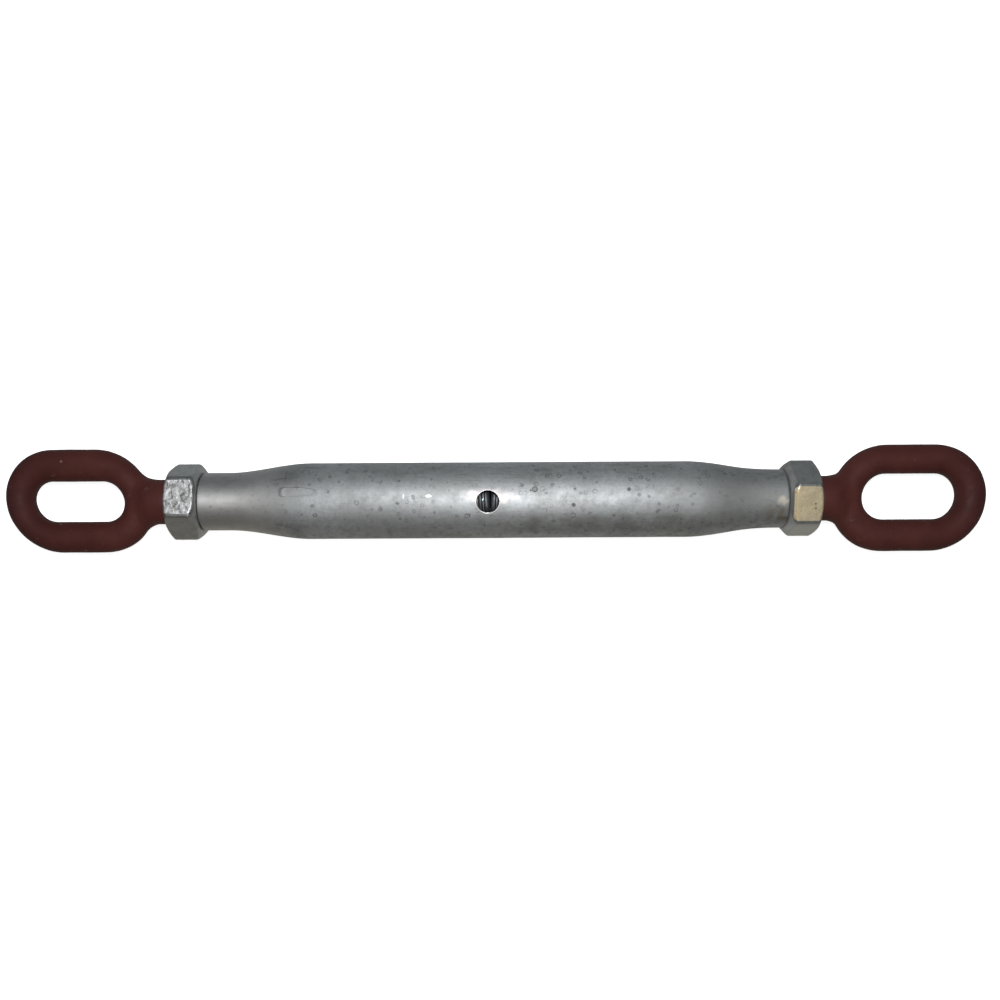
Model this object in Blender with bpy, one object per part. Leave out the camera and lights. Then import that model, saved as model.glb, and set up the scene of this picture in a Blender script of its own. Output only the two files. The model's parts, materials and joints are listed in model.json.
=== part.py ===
"""Closed-body rigging turnbuckle with an oval eye at each end, M20, screwed fully closed.

Frame: the origin is the middle of the closed turnbuckle on the pipe's axis, +X runs along the
pipe, the two eyes lie flat in the XY plane, and +Z points up out of that plane.
Distances along the axis below are from the pipe's own middle, which is not quite the origin,
because the two eyes differ in length.
Each eye is a threaded stud, a bent round-bar ring and the weld fillet that joins them.
The -X end has a right-hand thread and the +X end a left-hand thread.
"""

import math

import bmesh
import bpy

MM = 0.001
GAP = 0.3 * MM            # clearance between pieces that touch
SEGMENTS = 48             # facets round every turned piece
SHARP_ANGLE = math.radians(35.0)

# Pipe body
BODY_LENGTH = 255.4 * MM
BODY_RADIUS = 16.85 * MM
WALL = 4.5 * MM
END_RADIUS = 13.0 * MM    # outside of the swaged ends
END_CHAMFER = 0.5 * MM
TAPER_RINGS = 10
# Each swage: where it starts and ends from the middle, how round its shoulders are, how early it drops
LEFT_SWAGE = dict(start=83.5 * MM, foot=113.5 * MM, rounding=0.3, power=1.0)
RIGHT_SWAGE = dict(start=88.0 * MM, foot=124.0 * MM, rounding=0.4, power=1.5)

# Cross hole for a tommy bar, through which the stud ends can be seen
HOLE_RADIUS = 5.0 * MM
HOLE_X = -2.35 * MM
HOLE_TILT = math.radians(2.3)

# Studs
THREAD_RADIUS = 10.0 * MM
STUD_GAP = 1.0 * MM       # between the two stud ends
STUD_GAP_X = -1.4 * MM
STUD_CHAMFER = 1.5 * MM
BORE_RADIUS = THREAD_RADIUS + GAP

# Lock nuts
NUT_ACROSS_FLATS = 30.0 * MM
NUT_THICKNESS = 14.0 * MM
NUT_FACE_RADIUS = 14.0 * MM
NUT_BLANK_RADIUS = 19.0 * MM
NUT_CHAMFER_SLOPE = math.tan(math.radians(30.0))
LEFT_NUT_TURN = math.radians(-8.5)
RIGHT_NUT_TURN = math.radians(9.0)

# Eyes: where each ring starts beyond the pipe's middle, and its outside length and width
BAR_RADIUS = 6.85 * MM
LEFT_EYE = dict(start=150.2 * MM, length=65.8 * MM, width=45.9 * MM)
RIGHT_EYE = dict(start=149.2 * MM, length=68.8 * MM, width=47.4 * MM)
BAR_SIDES_RESOLUTION = 6  # 16 sides round the bar
ARC_STEPS = 16            # along each round end of a ring

# Weld fillet as oval sections, in mm: distance from the ring's near end, half-width, half-height
WELD_SECTIONS = (
    (-1.8, 10.7, 10.7),
    (-0.6, 10.8, 10.8),
    (0.8, 11.0, 10.3),
    (2.2, 11.4, 9.5),
    (3.6, 12.3, 8.6),
    (5.0, 13.8, 7.8),
)

ZINC = (0.42, 0.44, 0.45, 1.0)
WORN_ZINC = (0.50, 0.49, 0.45, 1.0)
BARE_STEEL = (0.20, 0.20, 0.21, 1.0)
RED_OXIDE = (0.065, 0.020, 0.018, 1.0)
WELD_OXIDE = (0.055, 0.018, 0.017, 1.0)


def clear_scene():
    for obj in list(bpy.data.objects):
        bpy.data.objects.remove(obj, do_unlink=True)


def frame_empty():
    """An empty at the pipe's middle, which puts the origin midway between the far ends of the eyes."""
    empty = bpy.data.objects.new("pipe_middle", None)
    bpy.context.collection.objects.link(empty)
    left_end = LEFT_EYE["start"] + LEFT_EYE["length"]
    right_end = RIGHT_EYE["start"] + RIGHT_EYE["length"]
    empty.location.x = (left_end - right_end) / 2.0
    return empty


def material(name, colour, roughness, metallic):
    mat = bpy.data.materials.new(name)
    mat.use_nodes = True
    shader = mat.node_tree.nodes["Principled BSDF"]
    shader.inputs["Base Color"].default_value = colour
    shader.inputs["Roughness"].default_value = roughness
    shader.inputs["Metallic"].default_value = metallic
    mat.diffuse_color = colour
    return mat


def add_object(name, mesh, parent=None, mat=None):
    obj = bpy.data.objects.new(name, mesh)
    bpy.context.collection.objects.link(obj)
    obj.parent = parent
    if mat:
        obj.data.materials.append(mat)
    return obj


def shade(mesh):
    mesh.shade_smooth()
    mesh.set_sharp_from_angle(angle=SHARP_ANGLE)


def turned_mesh(name, profile, closed):
    """Spins (x, radius) points about the X axis. A closed profile leaves a bore through the piece."""
    bm = bmesh.new()
    verts = [bm.verts.new((x, 0.0, r)) for x, r in profile]
    pairs = list(zip(verts, verts[1:]))
    if closed:
        pairs.append((verts[-1], verts[0]))
    edges = [bm.edges.new(pair) for pair in pairs]
    bmesh.ops.spin(
        bm,
        geom=verts + edges,
        cent=(0.0, 0.0, 0.0),
        axis=(1.0, 0.0, 0.0),
        angle=2.0 * math.pi,
        steps=SEGMENTS,
        use_merge=True,
    )
    bmesh.ops.remove_doubles(bm, verts=bm.verts, dist=1e-6)
    bmesh.ops.recalc_face_normals(bm, faces=bm.faces)
    mesh = bpy.data.meshes.new(name)
    bm.to_mesh(mesh)
    bm.free()
    return mesh


def boolean(obj, operation, tool):
    """Adds a Boolean modifier and hides its tool from the build."""
    tool.hide_render = True
    tool.display_type = "WIRE"
    modifier = obj.modifiers.new(operation.title(), "BOOLEAN")
    modifier.operation = operation
    modifier.solver = "EXACT"
    modifier.object = tool


# ---- pipe body ----------------------------------------------------------------------------


def swaged_radius(distance, start, foot, rounding, power):
    """Outside radius of the pipe at this distance from its middle."""
    t = min(max((distance - start) / (foot - start), 0.0), 1.0)
    drawn_in = t - rounding * math.sin(2.0 * math.pi * t) / (2.0 * math.pi)
    return END_RADIUS + (BODY_RADIUS - END_RADIUS) * (1.0 - drawn_in) ** power


def swage_profile(side, swage):
    """Outer and bore points of one half of the pipe, from its middle out to its end."""
    end = BODY_LENGTH / 2.0
    span = swage["foot"] - swage["start"]
    stations = [swage["start"] + span * i / TAPER_RINGS for i in range(TAPER_RINGS + 1)]
    outer = [(side * d, swaged_radius(d, **swage)) for d in stations]
    outer += [(side * (end - END_CHAMFER), END_RADIUS), (side * end, END_RADIUS - END_CHAMFER)]
    bore = [(side * d, max(swaged_radius(d, **swage) - WALL, BORE_RADIUS)) for d in stations]
    bore.append((side * end, BORE_RADIUS))
    return outer, bore


def cross_hole_cutter(parent):
    bm = bmesh.new()
    bmesh.ops.create_cone(
        bm,
        cap_ends=True,
        segments=SEGMENTS,
        radius1=HOLE_RADIUS,
        radius2=HOLE_RADIUS,
        depth=3.0 * BODY_RADIUS,  # longer than the pipe is wide
    )
    mesh = bpy.data.meshes.new("cross_hole")
    bm.to_mesh(mesh)
    bm.free()
    cutter = add_object("cross_hole", mesh, parent)
    cutter.location.x = HOLE_X
    cutter.rotation_euler.x = HOLE_TILT
    return cutter


def pipe_body(parent):
    left_outer, left_bore = swage_profile(-1.0, LEFT_SWAGE)
    right_outer, right_bore = swage_profile(1.0, RIGHT_SWAGE)
    profile = left_outer[::-1] + right_outer + right_bore[::-1] + left_bore
    mesh = turned_mesh("pipe_body", profile, closed=True)
    shade(mesh)
    body = add_object("pipe_body", mesh, parent, material("galvanised_pipe", ZINC, 0.42, 0.9))
    boolean(body, "DIFFERENCE", cross_hole_cutter(parent))


# ---- lock nuts ----------------------------------------------------------------------------


def hexagon_mesh(name):
    """A hexagonal prism along X, from x = 0 to the nut's thickness, with two flats facing up and down."""
    bm = bmesh.new()
    corner_radius = NUT_ACROSS_FLATS / 2.0 / math.cos(math.radians(30.0))
    corners = []
    for i in range(6):
        angle = math.radians(30.0 + 60.0 * i)
        corners.append(bm.verts.new((0.0, corner_radius * math.sin(angle), corner_radius * math.cos(angle))))
    face = bm.faces.new(corners)
    side = bmesh.ops.extrude_face_region(bm, geom=[face])
    moved = [v for v in side["geom"] if isinstance(v, bmesh.types.BMVert)]
    bmesh.ops.translate(bm, verts=moved, vec=(NUT_THICKNESS, 0.0, 0.0))
    bmesh.ops.recalc_face_normals(bm, faces=bm.faces)
    mesh = bpy.data.meshes.new(name)
    bm.to_mesh(mesh)
    bm.free()
    return mesh


def nut_blank_mesh():
    """The turned blank that a nut is cut from: a bored disc whose two rims slope back at 30 degrees."""
    back = (NUT_BLANK_RADIUS - NUT_FACE_RADIUS) * NUT_CHAMFER_SLOPE
    profile = [
        (0.0, BORE_RADIUS),
        (0.0, NUT_FACE_RADIUS),
        (back, NUT_BLANK_RADIUS),
        (NUT_THICKNESS - back, NUT_BLANK_RADIUS),
        (NUT_THICKNESS, NUT_FACE_RADIUS),
        (NUT_THICKNESS, BORE_RADIUS),
    ]
    return turned_mesh("nut_blank", profile, closed=True)


def lock_nut(name, parent, side, turn, mat):
    """A hexagon nut hard against the end of the pipe, turned about the axis to where it was tightened."""
    nut = add_object(name, hexagon_mesh(name), parent, mat)
    blank = add_object(name + "_blank", nut_blank_mesh(), nut)
    boolean(nut, "INTERSECT", blank)
    near_face = BODY_LENGTH / 2.0 + GAP
    nut.location.x = near_face if side > 0.0 else -near_face - NUT_THICKNESS
    nut.rotation_euler.x = turn


# ---- eyes: stud, ring and weld ------------------------------------------------------------


def stud_mesh(name, side, eye, clearance=0.0):
    """A plain round bar standing for the thread's crests; its inner end is chamfered."""
    inner_end = side * STUD_GAP_X + STUD_GAP / 2.0
    outer_end = eye["start"] - GAP + clearance
    radius = THREAD_RADIUS + clearance
    profile = [
        (side * inner_end, 0.0),
        (side * inner_end, radius - STUD_CHAMFER),
        (side * (inner_end + STUD_CHAMFER), radius),
        (side * outer_end, radius),
        (side * outer_end, 0.0),
    ]
    return turned_mesh(name, profile, closed=False)


def oval_route(half_length, half_width):
    """Points round the centreline of a ring: two half circles and the straights between them."""
    straight = half_length - half_width
    points = []
    for sign, start in ((1.0, -math.pi / 2.0), (-1.0, math.pi / 2.0)):
        for i in range(ARC_STEPS + 1):
            angle = start + math.pi * i / ARC_STEPS
            x = sign * straight + half_width * math.cos(angle)
            points.append((x, half_width * math.sin(angle), 0.0))
    return points


def ring_mesh(name, eye, bar_radius):
    """A round bar bent into a closed oval, as a mesh that a Boolean can take."""
    curve = bpy.data.curves.new(name + "_route", "CURVE")
    curve.dimensions = "3D"
    curve.bevel_depth = bar_radius
    curve.bevel_resolution = BAR_SIDES_RESOLUTION
    route = oval_route(eye["length"] / 2.0 - BAR_RADIUS, eye["width"] / 2.0 - BAR_RADIUS)
    spline = curve.splines.new("POLY")
    spline.points.add(len(route) - 1)
    for point, position in zip(spline.points, route):
        point.co = (*position, 1.0)
    spline.use_cyclic_u = True
    bent_bar = add_object(name + "_route", curve)
    mesh = bpy.data.meshes.new_from_object(bent_bar)
    bpy.data.objects.remove(bent_bar)
    mesh.name = name
    return mesh


def ring_object(name, parent, side, eye, bar_radius, mat=None):
    """The ring of one eye, lying flat beyond the end of the stud."""
    ring = add_object(name, ring_mesh(name, eye, bar_radius), parent, mat)
    ring.location.x = side * (eye["start"] + eye["length"] / 2.0)
    return ring


def weld_mesh(name, side, eye):
    """A flared collar of weld metal: oval cross-sections joined into one closed solid."""
    bm = bmesh.new()
    loops = []
    for offset, half_width, half_height in WELD_SECTIONS:
        x = side * (eye["start"] + offset * MM)
        ring = []
        for i in range(SEGMENTS):
            angle = 2.0 * math.pi * i / SEGMENTS
            y = half_width * MM * math.cos(angle)
            z = half_height * MM * math.sin(angle)
            ring.append(bm.verts.new((x, y, z)))
        loops.append([bm.edges.new((ring[i - 1], ring[i])) for i in range(SEGMENTS)])
    for near, far in zip(loops, loops[1:]):
        bmesh.ops.bridge_loops(bm, edges=near + far)
    bmesh.ops.holes_fill(bm, edges=loops[0] + loops[-1])
    bmesh.ops.recalc_face_normals(bm, faces=bm.faces)
    mesh = bpy.data.meshes.new(name)
    bm.to_mesh(mesh)
    bm.free()
    return mesh


def eye_end(prefix, parent, side, eye, paint, weld_paint, steel):
    """The three pieces of one eye end. The stud and the weld have their origins on the pipe's axis."""
    stud = add_object(prefix + "_stud", stud_mesh(prefix + "_stud", side, eye), parent, steel)
    shade(stud.data)
    ring = ring_object(prefix + "_eye_ring", parent, side, eye, BAR_RADIUS, paint)
    shade(ring.data)
    weld = add_object(prefix + "_weld", weld_mesh(prefix + "_weld", side, eye), parent, weld_paint)
    ring_space = ring_object(prefix + "_ring_space", parent, side, eye, BAR_RADIUS + GAP)
    stud_space = add_object(prefix + "_stud_space", stud_mesh(prefix + "_stud_space", side, eye, GAP), parent)
    boolean(weld, "DIFFERENCE", ring_space)
    boolean(weld, "DIFFERENCE", stud_space)


def build():
    clear_scene()
    middle = frame_empty()
    pipe_body(middle)
    zinc = material("galvanised_nut", ZINC, 0.55, 0.85)
    worn_zinc = material("yellowed_nut", WORN_ZINC, 0.6, 0.8)
    lock_nut("left_lock_nut", middle, -1.0, LEFT_NUT_TURN, zinc)
    lock_nut("right_lock_nut", middle, 1.0, RIGHT_NUT_TURN, worn_zinc)
    paint = material("red_oxide_primer", RED_OXIDE, 0.5, 0.0)
    weld_paint = material("painted_weld", WELD_OXIDE, 0.6, 0.0)
    steel = material("threaded_steel", BARE_STEEL, 0.4, 0.9)
    eye_end("left", middle, -1.0, LEFT_EYE, paint, weld_paint, steel)
    eye_end("right", middle, 1.0, RIGHT_EYE, paint, weld_paint, steel)


build()
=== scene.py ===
"""Looks of a closed-body rigging turnbuckle: a pipe with a lock nut, a screw and a painted eye at each end.

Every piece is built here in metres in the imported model's own frame and rides on one of its bodies:
- the pipe, with drawn-in ends, a small dent on its left shoulder and a cross hole with a broken edge
- two zinc-coated lock nuts with rounded corners
- two screws with real helical threads, right-hand at the -X end and left-hand at the +X end
- two painted eyes, each one round-bar ring that flows into the neck it is welded to
"""

import json
import math

import bmesh
import bpy
import numpy as np
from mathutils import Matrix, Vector, noise


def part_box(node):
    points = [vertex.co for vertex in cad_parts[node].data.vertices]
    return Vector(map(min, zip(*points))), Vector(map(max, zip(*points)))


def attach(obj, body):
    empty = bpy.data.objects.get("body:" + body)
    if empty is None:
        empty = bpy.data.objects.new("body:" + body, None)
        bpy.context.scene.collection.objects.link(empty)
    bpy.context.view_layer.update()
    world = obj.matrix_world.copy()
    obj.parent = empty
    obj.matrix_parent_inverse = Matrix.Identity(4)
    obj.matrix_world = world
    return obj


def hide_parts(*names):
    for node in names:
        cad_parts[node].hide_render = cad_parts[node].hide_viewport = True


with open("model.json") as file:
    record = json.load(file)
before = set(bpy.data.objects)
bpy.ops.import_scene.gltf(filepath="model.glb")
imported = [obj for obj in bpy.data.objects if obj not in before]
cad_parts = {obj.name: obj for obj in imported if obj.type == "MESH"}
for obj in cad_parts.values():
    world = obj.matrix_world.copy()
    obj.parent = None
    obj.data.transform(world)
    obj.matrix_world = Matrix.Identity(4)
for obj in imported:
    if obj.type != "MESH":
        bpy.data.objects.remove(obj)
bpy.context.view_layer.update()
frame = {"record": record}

MM = 0.001

# Pipe: distances along it are from its own middle
PIPE_LOW, PIPE_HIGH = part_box("pipe_body")
PIPE_MIDDLE = (PIPE_LOW.x + PIPE_HIGH.x) / 2.0
PIPE_HALF_LENGTH = (PIPE_HIGH.x - PIPE_LOW.x) / 2.0
PIPE_RADIUS = PIPE_HIGH.y
PIPE_WALL = 4.5 * MM
PIPE_BORE_RADIUS = 10.3 * MM
PIPE_END_ROUNDING = 0.5 * MM
PIPE_SEGMENTS = 224
PIPE_RING_STEP = 0.8 * MM
PIPE_INNER_RINGS = 40
PIPE_UNEVENNESS = 0.07 * MM
SWAGE_SOFTENING = 3.0 * MM
# Each drawn-in end: where it starts and ends, how thin it gets, how round and how early it drops
LEFT_SWAGE = dict(start=83.5 * MM, foot=113.5 * MM, end_radius=12.8 * MM, rounding=0.3, power=1.0)
RIGHT_SWAGE = dict(start=88.0 * MM, foot=124.0 * MM, end_radius=13.0 * MM, rounding=0.4, power=1.5)
# A shallow dent on the left shoulder
DENT_X = PIPE_MIDDLE - 83.6 * MM
DENT_ANGLE = math.radians(14.0)
DENT_HALF_LENGTH = 8.0 * MM
DENT_HALF_WIDTH = 2.7 * MM
DENT_DEPTH = 0.14 * MM
# Marks in the zinc and a painted highlight, as places along X: where each kind starts and is full, and where
# it fades and ends
LEFT_SHOULDER_SPAN = (-109.0 * MM, -100.0 * MM, -90.0 * MM, -80.0 * MM)
DULL_LEFT_SPAN = (-4.0 * MM, -28.0 * MM, -45.0 * MM, -85.0 * MM)
LOW_BAND_SPAN = (-8.0 * MM, 20.0 * MM, 70.0 * MM, 105.0 * MM)
LEFT_END_SPAN = (-85.0 * MM, -107.0 * MM)
RIGHT_END_SPAN = (75.0 * MM, 100.0 * MM)
LATHE_TURNED_TO = -88.0 * MM
RING_CELL = 5.8 * MM
FAINT_RING_CELL = 3.7 * MM
PIT_CELL = 5.2 * MM
STREAK_GROUP_BEYOND_HOLE = 21.0 * MM
STREAK_GROUP_ANGLE = 0.84     # radians from straight up
# the painted glint beside the cross hole
GLINT_HALF_LENGTH = 10.5 * MM
GLINT_HALF_WIDTH = 3.5 * MM
GLINT_Y = 1.5 * MM

# Cross hole
HOLE_RADIUS = 4.75 * MM
HOLE_SEGMENTS = 96

# Threads: M20, 2.5 mm pitch
THREAD_PITCH = 2.5 * MM
THREAD_CREST_RADIUS = 9.95 * MM
THREAD_ROOT_RADIUS = 8.5 * MM
THREAD_SEGMENTS = 48
SCREW_TIP_RADIUS = 8.3 * MM
SCREW_IN_NECK = 2.4 * MM

# Lock nuts
NUT_ACROSS_FLATS = 30.0 * MM
NUT_FACE_RADIUS = 14.0 * MM
NUT_BORE_RADIUS = 10.1 * MM
NUT_CORNER_ROUNDING = 2.2 * MM
NUT_FLAT_STEPS = 32
NUT_CORNER_STEPS = 8
# Slope of each nut's chamfer at its -X face and at its +X face, in degrees
LEFT_NUT_CHAMFERS = (30.0, 36.0)
RIGHT_NUT_CHAMFERS = (43.0, 28.0)

# Eyes
BAR_RADIUS = 6.85 * MM
NECK_RADIUS = 10.0 * MM
EYE_VOXEL = 0.6 * MM
EYE_LUMPINESS = 0.10 * MM
GAP_AT_NUT = 0.35 * MM
# How each forged eye strays from true: slant of its ends, thinning of its two bends, thickening of its upper
# and lower bars towards the opening, how short of the plain ring its far end stops, how far off axis it sits
LEFT_EYE_SHAPE = dict(slant=0.11, far_thinning=0.13, near_thinning=0.12, upper_thickening=0.12,
                      lower_thickening=0.03, far_gap=0.7 * MM, lift=0.6 * MM)
RIGHT_EYE_SHAPE = dict(slant=0.07, far_thinning=0.06, near_thinning=0.0, upper_thickening=-0.07,
                       lower_thickening=0.09, far_gap=0.3 * MM, lift=0.0)
RING_STEPS = 120
RING_SIDES = 32
NECK_SIDES = 64
EYE_SOFTENING_PASSES = 9
# Where neck turns into ring, in mm: distance from the ring's near end, half-width, half-height
NECK_SECTIONS = (
    (-1.6, 10.0, 10.0),
    (-0.4, 10.2, 10.0),
    (0.8, 10.5, 9.8),
    (2.2, 11.0, 9.3),
    (3.6, 11.9, 8.6),
    (5.2, 13.4, 7.8),
    (7.4, 15.0, 6.9),
)

# Camera: straight above, as if from a short way over the bench
CAMERA_HEIGHT = 0.420
CAMERA_X = 1.9 * MM
VIEW_WIDTH = 0.44346      # what the frame takes in at the object's middle
CAMERA_ROLL = math.radians(-0.33)
SENSOR_WIDTH = 36.0

# Floor and room
FLOOR_HALF = 4.0
FLOOR_SLOT_RADIUS = 5.0 * MM
FLOOR_SLOT_NARROWING = 2.5
# from straight down to straight up
ROOM_TONES = (
    (0.0, (0.42, 0.42, 0.41)),
    (0.22, (0.44, 0.44, 0.43)),
    (0.40, (0.18, 0.18, 0.18)),
    (0.50, (0.165, 0.17, 0.17)),
    (0.75, (0.165, 0.17, 0.175)),
    (1.0, (0.20, 0.205, 0.21)),
)
# warmer towards -Y, where the bench was, and cooler towards +Y
ROOM_TINTS = ((0.0, (1.0, 0.95, 0.85)), (1.0, (0.94, 1.0, 1.05)))


# ---- mesh helpers -------------------------------------------------------------------------


def new_object(name, mesh):
    obj = bpy.data.objects.new(name, mesh)
    bpy.context.scene.collection.objects.link(obj)
    return obj


def mesh_from(name, verts, faces):
    mesh = bpy.data.meshes.new(name)
    mesh.from_pydata([tuple(v) for v in verts], [], faces)
    mesh.validate()
    bm = bmesh.new()
    bm.from_mesh(mesh)
    bmesh.ops.recalc_face_normals(bm, faces=bm.faces)
    bm.to_mesh(mesh)
    bm.free()
    return mesh


def shade(mesh, sharp_angle):
    mesh.shade_smooth()
    mesh.set_sharp_from_angle(angle=math.radians(sharp_angle))


def around_x(x, radius, angle):
    """A point at this radius from the X axis; angle 0 is straight up and grows towards +Y."""
    return np.stack([x, radius * np.sin(angle), radius * np.cos(angle)], axis=-1)


def tube_faces(rings, segments, closed):
    """Quads between rings of points that each go once round; closed joins the last ring to the first."""
    faces = []
    last = rings if closed else rings - 1
    for i in range(last):
        near = i * segments
        far = ((i + 1) % rings) * segments
        for j in range(segments):
            k = (j + 1) % segments
            faces.append((near + j, near + k, far + k, far + j))
    return faces


def modified_mesh(obj):
    """The object's mesh with its modifiers applied; the object goes."""
    graph = bpy.context.evaluated_depsgraph_get()
    mesh = bpy.data.meshes.new_from_object(obj.evaluated_get(graph))
    bpy.data.objects.remove(obj, do_unlink=True)
    return mesh


def vertex_array(mesh):
    points = np.empty(len(mesh.vertices) * 3)
    mesh.vertices.foreach_get("co", points)
    return points.reshape(-1, 3)


def set_vertices(mesh, points):
    mesh.vertices.foreach_set("co", points.ravel())
    mesh.update()


def lumps(points, size, seed):
    """Smooth noise from -1 to 1 with features of about this size, at each point."""
    offset = Vector((seed, 2.0 * seed, 3.0 * seed))
    return np.array([noise.noise(Vector(p) / size + offset) for p in points])


def smooth_step(x, low, high):
    t = np.clip((x - low) / (high - low), 0.0, 1.0)
    return t * t * (3.0 - 2.0 * t)


# ---- node helpers -------------------------------------------------------------------------


class Nodes:
    """Short ways to add nodes to one node tree and join them. A value is a number, a colour or a socket."""

    def __init__(self, tree):
        self.tree = tree

    def add(self, kind, *values, **settings):
        """A new node with these settings, and with these values fed to its first inputs."""
        node = self.tree.nodes.new(kind)
        for name, value in settings.items():
            setattr(node, name, value)
        for socket, value in zip(node.inputs, values):
            self.feed(socket, value)
        return node

    def feed(self, socket, value):
        if isinstance(value, bpy.types.NodeSocket):
            self.tree.links.new(value, socket)
        else:
            socket.default_value = value

    def maths(self, operation, *values):
        return self.add("ShaderNodeMath", *values, operation=operation).outputs[0]

    def plus(self, a, b):
        return self.maths("ADD", a, b)

    def minus(self, a, b):
        return self.maths("SUBTRACT", a, b)

    def times(self, *factors):
        product = factors[0]
        for factor in factors[1:]:
            product = self.maths("MULTIPLY", product, factor)
        return product

    def over(self, a, b):
        return self.maths("DIVIDE", a, b)

    def fourth_power(self, a):
        return self.maths("POWER", self.maths("ABSOLUTE", a), 4.0)

    def scaled(self, value, factor, offset):
        return self.maths("MULTIPLY_ADD", value, factor, offset)

    def larger(self, a, b):
        return self.maths("MAXIMUM", a, b)

    def above(self, a, b):
        """1 where a is more than b, else 0."""
        return self.maths("GREATER_THAN", a, b)

    def apart(self, a, b):
        """How far apart two values are."""
        return self.maths("ABSOLUTE", self.minus(a, b))

    def length(self, a, b):
        """The length of the vector a, b."""
        return self.maths("SQRT", self.plus(self.times(a, a), self.times(b, b)))

    def mapped(self, value, low, high, to_low=0.0, to_high=1.0):
        """value taken from low..high to to_low..to_high, with soft ends."""
        values = (value, low, high, to_low, to_high)
        return self.add("ShaderNodeMapRange", *values, interpolation_type="SMOOTHSTEP").outputs[0]

    def band(self, value, start, full, fading, end):
        """1 where value is between full and fading, falling softly to 0 at start and end."""
        return self.times(self.mapped(value, start, full), self.mapped(value, end, fading))

    def blend(self, factor, a, b, mode="MIX"):
        node = self.add("ShaderNodeMix", data_type="RGBA", blend_type=mode)
        for index, value in ((0, factor), (6, a), (7, b)):
            self.feed(node.inputs[index], value)
        return node.outputs[2]

    def paint(self, colour, tone, mask, strength=1.0):
        """colour with tone laid over it, this strongly, where mask is 1."""
        return self.blend(self.times(mask, strength), colour, tone)

    def ramp(self, value, stops):
        """The colour at value between stops, each a place from 0 to 1 and a colour."""
        node = self.add("ShaderNodeValToRGB", value)
        elements = node.color_ramp.elements
        elements[0].position, elements[1].position = stops[0][0], stops[-1][0]
        for place, _ in stops[1:-1]:
            elements.new(place)
        for element, (_, colour) in zip(elements, stops):
            element.color = (*colour, 1.0)
        return node.outputs[0]


class Material(Nodes):
    """A node material around one Principled BSDF, with the patterns that the pieces need."""

    def __init__(self, name, metallic, roughness):
        self.data = bpy.data.materials.new(name)
        self.data.use_nodes = True
        super().__init__(self.data.node_tree)
        self.shader = self.tree.nodes["Principled BSDF"]
        self.give(Metallic=metallic, Roughness=roughness)
        self.place = self.add("ShaderNodeTexCoord").outputs["Object"]
        self.x, self.y, self.z = self.add("ShaderNodeSeparateXYZ", self.place).outputs
        # round the X axis, 0 straight up and growing towards +Y
        self.angle = self.maths("ARCTAN2", self.y, self.z)

    def give(self, **values):
        """Feed the shader's inputs, named with underscores for spaces."""
        for name, value in values.items():
            self.feed(self.shader.inputs[name.replace("_", " ")], value)

    def noise(self, size, detail=2.0, roughness=0.5, place=None):
        """Noise from 0 to 1 with features of about this size in metres."""
        node = self.add("ShaderNodeTexNoise", place or self.place)
        node.inputs["Scale"].default_value = 1.0 / size
        node.inputs["Detail"].default_value = detail
        node.inputs["Roughness"].default_value = roughness
        return node.outputs["Fac"]

    def cells(self, size, place=None):
        """Cells of about this size: how far from each one's middle, in cells, and its own three values."""
        node = self.add("ShaderNodeTexVoronoi", place or self.place)
        node.inputs["Scale"].default_value = 1.0 / size
        own = self.add("ShaderNodeSeparateColor", node.outputs["Color"]).outputs
        return node.outputs["Distance"], own[:3]

    def radius(self):
        """Distance from the X axis."""
        return self.length(self.y, self.z)

    def box_patch(self, u, v, half_u, half_v, rounding, softness):
        """1 inside a rectangle with rounded corners centred where u and v are 0, fading to 0 outside it."""
        beyond = [
            self.larger(self.minus(self.maths("ABSOLUTE", place), half - rounding), 0.0)
            for place, half in ((u, half_u), (v, half_v))
        ]
        return self.mapped(self.length(*beyond), rounding + softness, rounding - softness)

    def unrolled(self, radius, along=1.0):
        """The skin of a piece laid out flat: x along the axis, stretched as asked, and y round it."""
        flat = self.add("ShaderNodeCombineXYZ", self.times(self.x, along), self.times(self.angle, radius))
        return flat.outputs[0]

    def bump(self, height, depth, strength):
        node = self.add("ShaderNodeBump")
        for name, value in (("Height", height), ("Distance", depth), ("Strength", strength)):
            self.feed(node.inputs[name], value)
        self.give(Normal=node.outputs[0])


def grey(value, tint=(1.0, 1.0, 1.0)):
    return (value * tint[0], value * tint[1], value * tint[2], 1.0)


# ---- pipe ---------------------------------------------------------------------------------


def swaged_radius(distance, start, foot, end_radius, rounding, power):
    """Outside radius of one drawn-in end at this distance from the pipe's middle."""
    t = np.clip((distance - start) / (foot - start), 0.0, 1.0)
    drawn_in = t - rounding * np.sin(2.0 * math.pi * t) / (2.0 * math.pi)
    return end_radius + (PIPE_RADIUS - end_radius) * (1.0 - drawn_in) ** power


def pipe_outside(x):
    """Outside radius at x from the pipe's middle, with both ends rounded over."""
    nearby = x[..., None] + np.linspace(-SWAGE_SOFTENING, SWAGE_SOFTENING, 5)
    left, right = swaged_radius(-nearby, **LEFT_SWAGE), swaged_radius(nearby, **RIGHT_SWAGE)
    radius = np.where(nearby < 0.0, left, right).mean(axis=-1)
    to_end = np.clip(PIPE_HALF_LENGTH - np.abs(x), 0.0, PIPE_END_ROUNDING)
    missing = PIPE_END_ROUNDING - to_end
    return radius - PIPE_END_ROUNDING + np.sqrt(PIPE_END_ROUNDING**2 - missing**2)


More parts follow.
